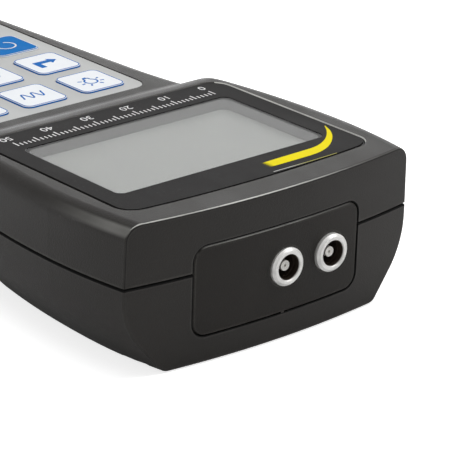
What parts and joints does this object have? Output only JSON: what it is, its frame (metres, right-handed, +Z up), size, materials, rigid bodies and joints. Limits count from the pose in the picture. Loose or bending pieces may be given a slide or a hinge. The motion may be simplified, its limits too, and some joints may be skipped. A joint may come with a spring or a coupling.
{
  "type": "thickness gauge",
  "caption": "Handheld ultrasonic thickness gauge with a display, a membrane keypad on a narrower handle, round probe sockets in its end face and a sliding battery cover underneath.",
  "frame": {"origin": "on the surface that the gauge rests on, under the middle of its box", "axes": "+Z up out of the display, +Y along the gauge towards the end face with the probe sockets, +X to the right of someone who reads the display with that end away from them"},
  "size_m": [0.0742, 0.15, 0.0321],
  "materials": {
    "housing_plastic": "fine matt grain, soft sheen",
    "panel_plastic": "fine matt grain",
    "overlay_print": "printed satin film",
    "clear_window": "clear, glossy",
    "frame_plastic": "matt",
    "display_panel": "grey display panel, satin",
    "backlight_plastic": "milky",
    "strip_rubber": "matt rubber",
    "board_laminate": "satin solder mask",
    "chip_plastic": "matt",
    "keypad_plastic": "fine matt film",
    "key_white": "satin",
    "key_blue": "satin",
    "spring_steel": "bright spring steel",
    "socket_metal": "satin nickel plate",
    "insulator_plastic": "waxy white",
    "contact_brass": "bright",
    "screw_steel": "plain",
    "cell_sleeve": "plain printed sleeve"
  },
  "bodies": {
    "housing": {"upper_housing": "housing_plastic", "lower_housing": "housing_plastic", "end_panel": "panel_plastic", "display_overlay": "overlay_print", "display_window": "clear_window", "display_frame": "frame_plastic", "display_glass": "display_panel", "backlight": "backlight_plastic", "connector_strip_front": "strip_rubber", "connector_strip_rear": "strip_rubber", "main_board": "board_laminate", "board_chips": "chip_plastic", "keypad_film": "keypad_plastic", "keypad_spacer": "keypad_plastic", "keypad_base": "keypad_plastic", "key_domes": "spring_steel", "battery_bridge": "spring_steel", "battery_terminal_left": "spring_steel", "battery_terminal_right": "spring_steel", "probe_socket_1": "socket_metal", "probe_socket_2": "socket_metal", "socket_nut_1": "socket_metal", "socket_nut_2": "socket_metal", "socket_washer_1": "socket_metal", "socket_washer_2": "socket_metal", "socket_insulator_1": "insulator_plastic", "socket_insulator_2": "insulator_plastic", "socket_contact_1": "contact_brass", "socket_contact_2": "contact_brass", "housing_screws": "screw_steel", "battery_cell_left": "cell_sleeve", "battery_cell_right": "cell_sleeve"},
    "cover": {"battery_cover": "housing_plastic"},
    "button_1_1": {"key_1_1": "key_white"},
    "button_1_2": {"key_1_2": "key_white"},
    "button_1_3": {"key_1_3": "key_white"},
    "button_2_1": {"key_2_1": "key_white"},
    "button_2_2": {"key_2_2": "key_white"},
    "button_2_3": {"key_2_3": "key_white"},
    "button_3_1": {"key_3_1": "key_blue"},
    "button_3_2": {"key_3_2": "key_white"},
    "button_3_3": {"key_3_3": "key_white"},
    "button_4_1": {"key_4_1": "key_white"},
    "button_4_2": {"key_4_2": "key_white"},
    "button_4_3": {"key_4_3": "key_white"}
  },
  "joints": [
    {"name": "cover_slide", "type": "slide", "parent": "housing", "child": "cover", "axis": [0, -1, 0], "range_m": [0, 0.05]},
    {"name": "press_1_1", "type": "slide", "parent": "housing", "child": "button_1_1", "axis": [0, 0, -1], "range_m": [0, 0.0003], "stiffness_N_per_m": 1000},
    {"name": "press_1_2", "type": "slide", "parent": "housing", "child": "button_1_2", "axis": [0, 0, -1], "range_m": [0, 0.0003], "stiffness_N_per_m": 1000},
    {"name": "press_1_3", "type": "slide", "parent": "housing", "child": "button_1_3", "axis": [0, 0, -1], "range_m": [0, 0.0003], "stiffness_N_per_m": 1000},
    {"name": "press_2_1", "type": "slide", "parent": "housing", "child": "button_2_1", "axis": [0, 0, -1], "range_m": [0, 0.0003], "stiffness_N_per_m": 1000},
    {"name": "press_2_2", "type": "slide", "parent": "housing", "child": "button_2_2", "axis": [0, 0, -1], "range_m": [0, 0.0003], "stiffness_N_per_m": 1000},
    {"name": "press_2_3", "type": "slide", "parent": "housing", "child": "button_2_3", "axis": [0, 0, -1], "range_m": [0, 0.0003], "stiffness_N_per_m": 1000},
    {"name": "press_3_1", "type": "slide", "parent": "housing", "child": "button_3_1", "axis": [0, 0, -1], "range_m": [0, 0.0003], "stiffness_N_per_m": 1000},
    {"name": "press_3_2", "type": "slide", "parent": "housing", "child": "button_3_2", "axis": [0, 0, -1], "range_m": [0, 0.0003], "stiffness_N_per_m": 1000},
    {"name": "press_3_3", "type": "slide", "parent": "housing", "child": "button_3_3", "axis": [0, 0, -1], "range_m": [0, 0.0003], "stiffness_N_per_m": 1000},
    {"name": "press_4_1", "type": "slide", "parent": "housing", "child": "button_4_1", "axis": [0, 0, -1], "range_m": [0, 0.0003], "stiffness_N_per_m": 1000},
    {"name": "press_4_2", "type": "slide", "parent": "housing", "child": "button_4_2", "axis": [0, 0, -1], "range_m": [0, 0.0003], "stiffness_N_per_m": 1000},
    {"name": "press_4_3", "type": "slide", "parent": "housing", "child": "button_4_3", "axis": [0, 0, -1], "range_m": [0, 0.0003], "stiffness_N_per_m": 1000}
  ]
}
